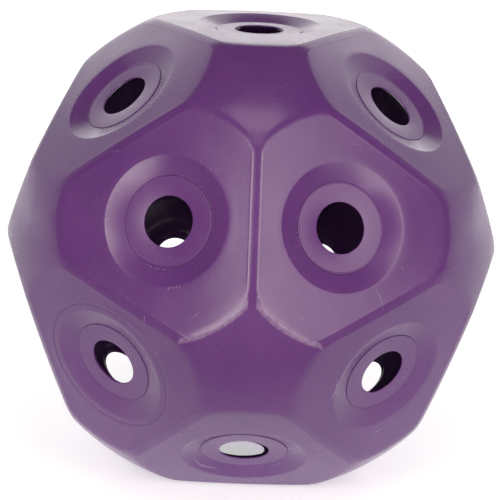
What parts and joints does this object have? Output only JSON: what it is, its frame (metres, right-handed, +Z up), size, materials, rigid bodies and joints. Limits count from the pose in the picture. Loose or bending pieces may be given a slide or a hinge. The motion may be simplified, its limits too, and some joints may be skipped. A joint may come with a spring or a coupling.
{
  "type": "slow feeder ball",
  "caption": "Hollow faceted plastic feeder ball: flat panels with a dished round hole and a press-in collar each, domed corners, and a round press-in filling cap.",
  "frame": {"origin": "on the ground under the ball's centre, with the ball resting on one flat panel", "axes": "+Z up, -Y towards the front, where two panels meet in an upright ridge with the filling cap low on its left; +X to the right seen from the front"},
  "size_m": [0.3864, 0.3998, 0.361],
  "materials": {
    "shell_plastic": "satin moulded polyethylene",
    "cap_plastic": "satin moulded polyethylene",
    "collar_plastic": "satin moulded polyethylene"
  },
  "bodies": {
    "ball": {"shell": "shell_plastic", "hole_collar_01": "collar_plastic", "hole_collar_02": "collar_plastic", "hole_collar_03": "collar_plastic", "hole_collar_04": "collar_plastic", "hole_collar_05": "collar_plastic", "hole_collar_06": "collar_plastic", "hole_collar_07": "collar_plastic", "hole_collar_08": "collar_plastic", "hole_collar_09": "collar_plastic", "hole_collar_10": "collar_plastic", "hole_collar_11": "collar_plastic", "hole_collar_12": "collar_plastic", "hole_collar_13": "collar_plastic", "hole_collar_14": "collar_plastic", "hole_collar_15": "collar_plastic", "hole_collar_16": "collar_plastic", "hole_collar_17": "collar_plastic", "hole_collar_18": "collar_plastic", "hole_collar_19": "collar_plastic"},
    "cap": {"filling_cap": "cap_plastic", "cap_collar": "collar_plastic"}
  },
  "joints": [
    {"name": "cap_pull", "type": "slide", "parent": "ball", "child": "cap", "axis": [-0.5774, -0.7454, -0.3333], "range_m": [0, 0.12]}
  ]
}
